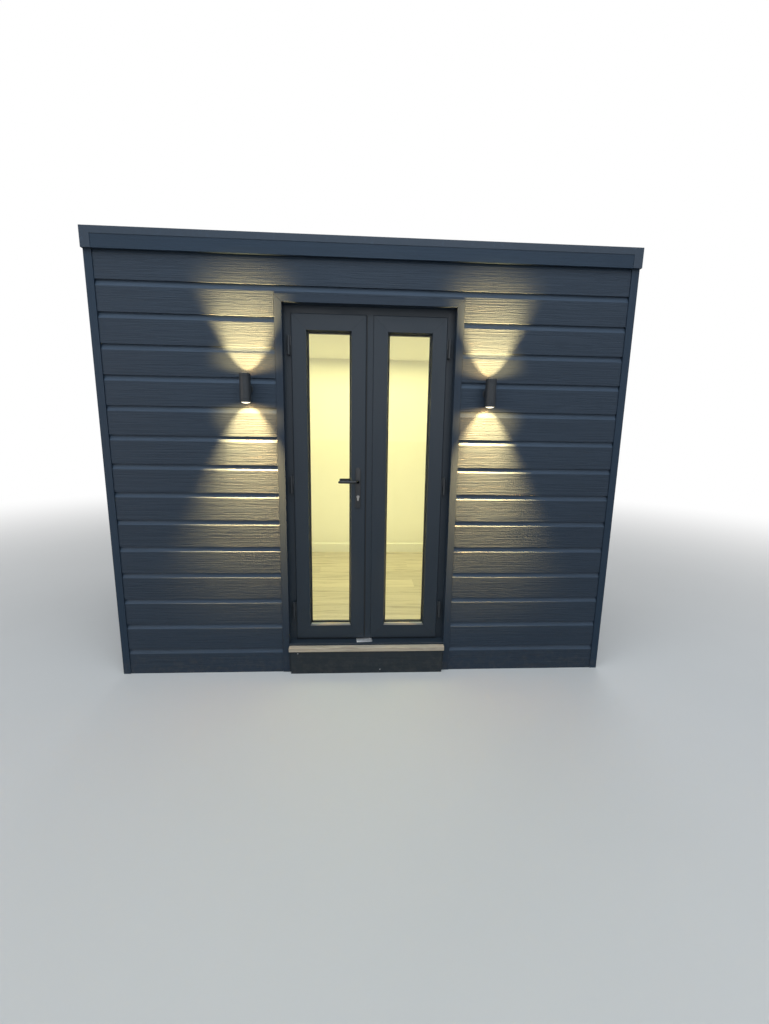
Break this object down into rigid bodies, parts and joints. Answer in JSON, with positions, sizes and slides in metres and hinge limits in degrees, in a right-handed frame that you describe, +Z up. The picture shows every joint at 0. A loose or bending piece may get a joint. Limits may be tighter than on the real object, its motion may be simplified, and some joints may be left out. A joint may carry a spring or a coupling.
{
  "type": "garden office pod",
  "caption": "Flat-roofed garden office pod with lapped anthracite cladding, glazed outward-opening double doors, up-and-down wall lights and a plain white room inside.",
  "frame": {"origin": "on the ground at the middle of the plan over the corner trims, on the underside of the middle floor joist", "axes": "+X to the right as one faces the doors, +Y into the building from the front, +Z up"},
  "size_m": [2.984, 2.5099, 2.5],
  "materials": {
    "structural_timber": "sawn softwood and board",
    "laminate": "grey-brown wood-effect planks, matt",
    "inner_wall": "white painted lining, matt",
    "cladding": "anthracite grey, satin, embossed wood grain",
    "trim": "anthracite grey, satin",
    "fascia": "anthracite grey, satin",
    "roof_membrane": "black sheet, matt",
    "skirting": "white paint, satin",
    "sill": "bare weathered board",
    "door_frame": "anthracite grey foil, satin, fine grain",
    "door_glass": "clear sealed unit",
    "hinge": "dark paint, satin",
    "handle": "dark paint, satin",
    "lock": "satin nickel",
    "light_body": "dark powder coat",
    "light_lens": "frosted, lit warm white"
  },
  "bodies": {
    "root": {"rim_joists": "structural_timber", "floor_joists": "structural_timber", "floor_deck": "structural_timber", "laminate_floor": "laminate", "left_wall": "inner_wall", "right_wall": "inner_wall", "back_wall": "inner_wall", "front_wall_left": "inner_wall", "front_wall_right": "inner_wall", "front_wall_head": "inner_wall", "left_cladding": "cladding", "right_cladding": "cladding", "back_cladding": "cladding", "front_cladding_left": "cladding", "front_cladding_right": "cladding", "front_cladding_head": "cladding", "corner_trims": "trim", "roof_panel": "inner_wall", "roof_membrane": "roof_membrane", "ceiling": "inner_wall", "fascia_boards": "fascia", "fascia_corners": "fascia", "roof_edge_trims": "fascia", "skirting": "skirting", "door_trims": "trim", "door_riser": "cladding", "door_sill": "sill", "frame_jambs": "door_frame", "frame_head": "door_frame", "frame_foot": "door_frame", "frame_hinges": "hinge", "light_brackets": "light_body", "light_bodies": "light_body", "light_lenses": "light_lens"},
    "left_door": {"left_sash": "door_frame", "left_glass": "door_glass", "left_beads": "door_frame", "left_hinges": "hinge", "handle_plates": "handle", "lock_cylinder": "lock"},
    "right_door": {"right_sash": "door_frame", "right_glass": "door_glass", "right_beads": "door_frame", "right_hinges": "hinge", "cover_strip": "door_frame"},
    "lever": {"levers": "handle"}
  },
  "joints": [
    {"name": "left_door_swing", "type": "hinge", "parent": "root", "child": "left_door", "pos_m": [-0.454, -1.157, 1.172], "axis": [0, 0, -1], "range_deg": [0, 90]},
    {"name": "right_door_swing", "type": "hinge", "parent": "root", "child": "right_door", "pos_m": [0.454, -1.157, 1.172], "axis": [0, 0, 1], "range_deg": [0, 90]},
    {"name": "lever_turn", "type": "hinge", "parent": "left_door", "child": "lever", "pos_m": [-0.062, -1.164, 1.194], "axis": [0, -1, 0], "range_deg": [0, 40], "stiffness_Nm_per_rad": 1.2, "springref_deg": -20.05}
  ]
}
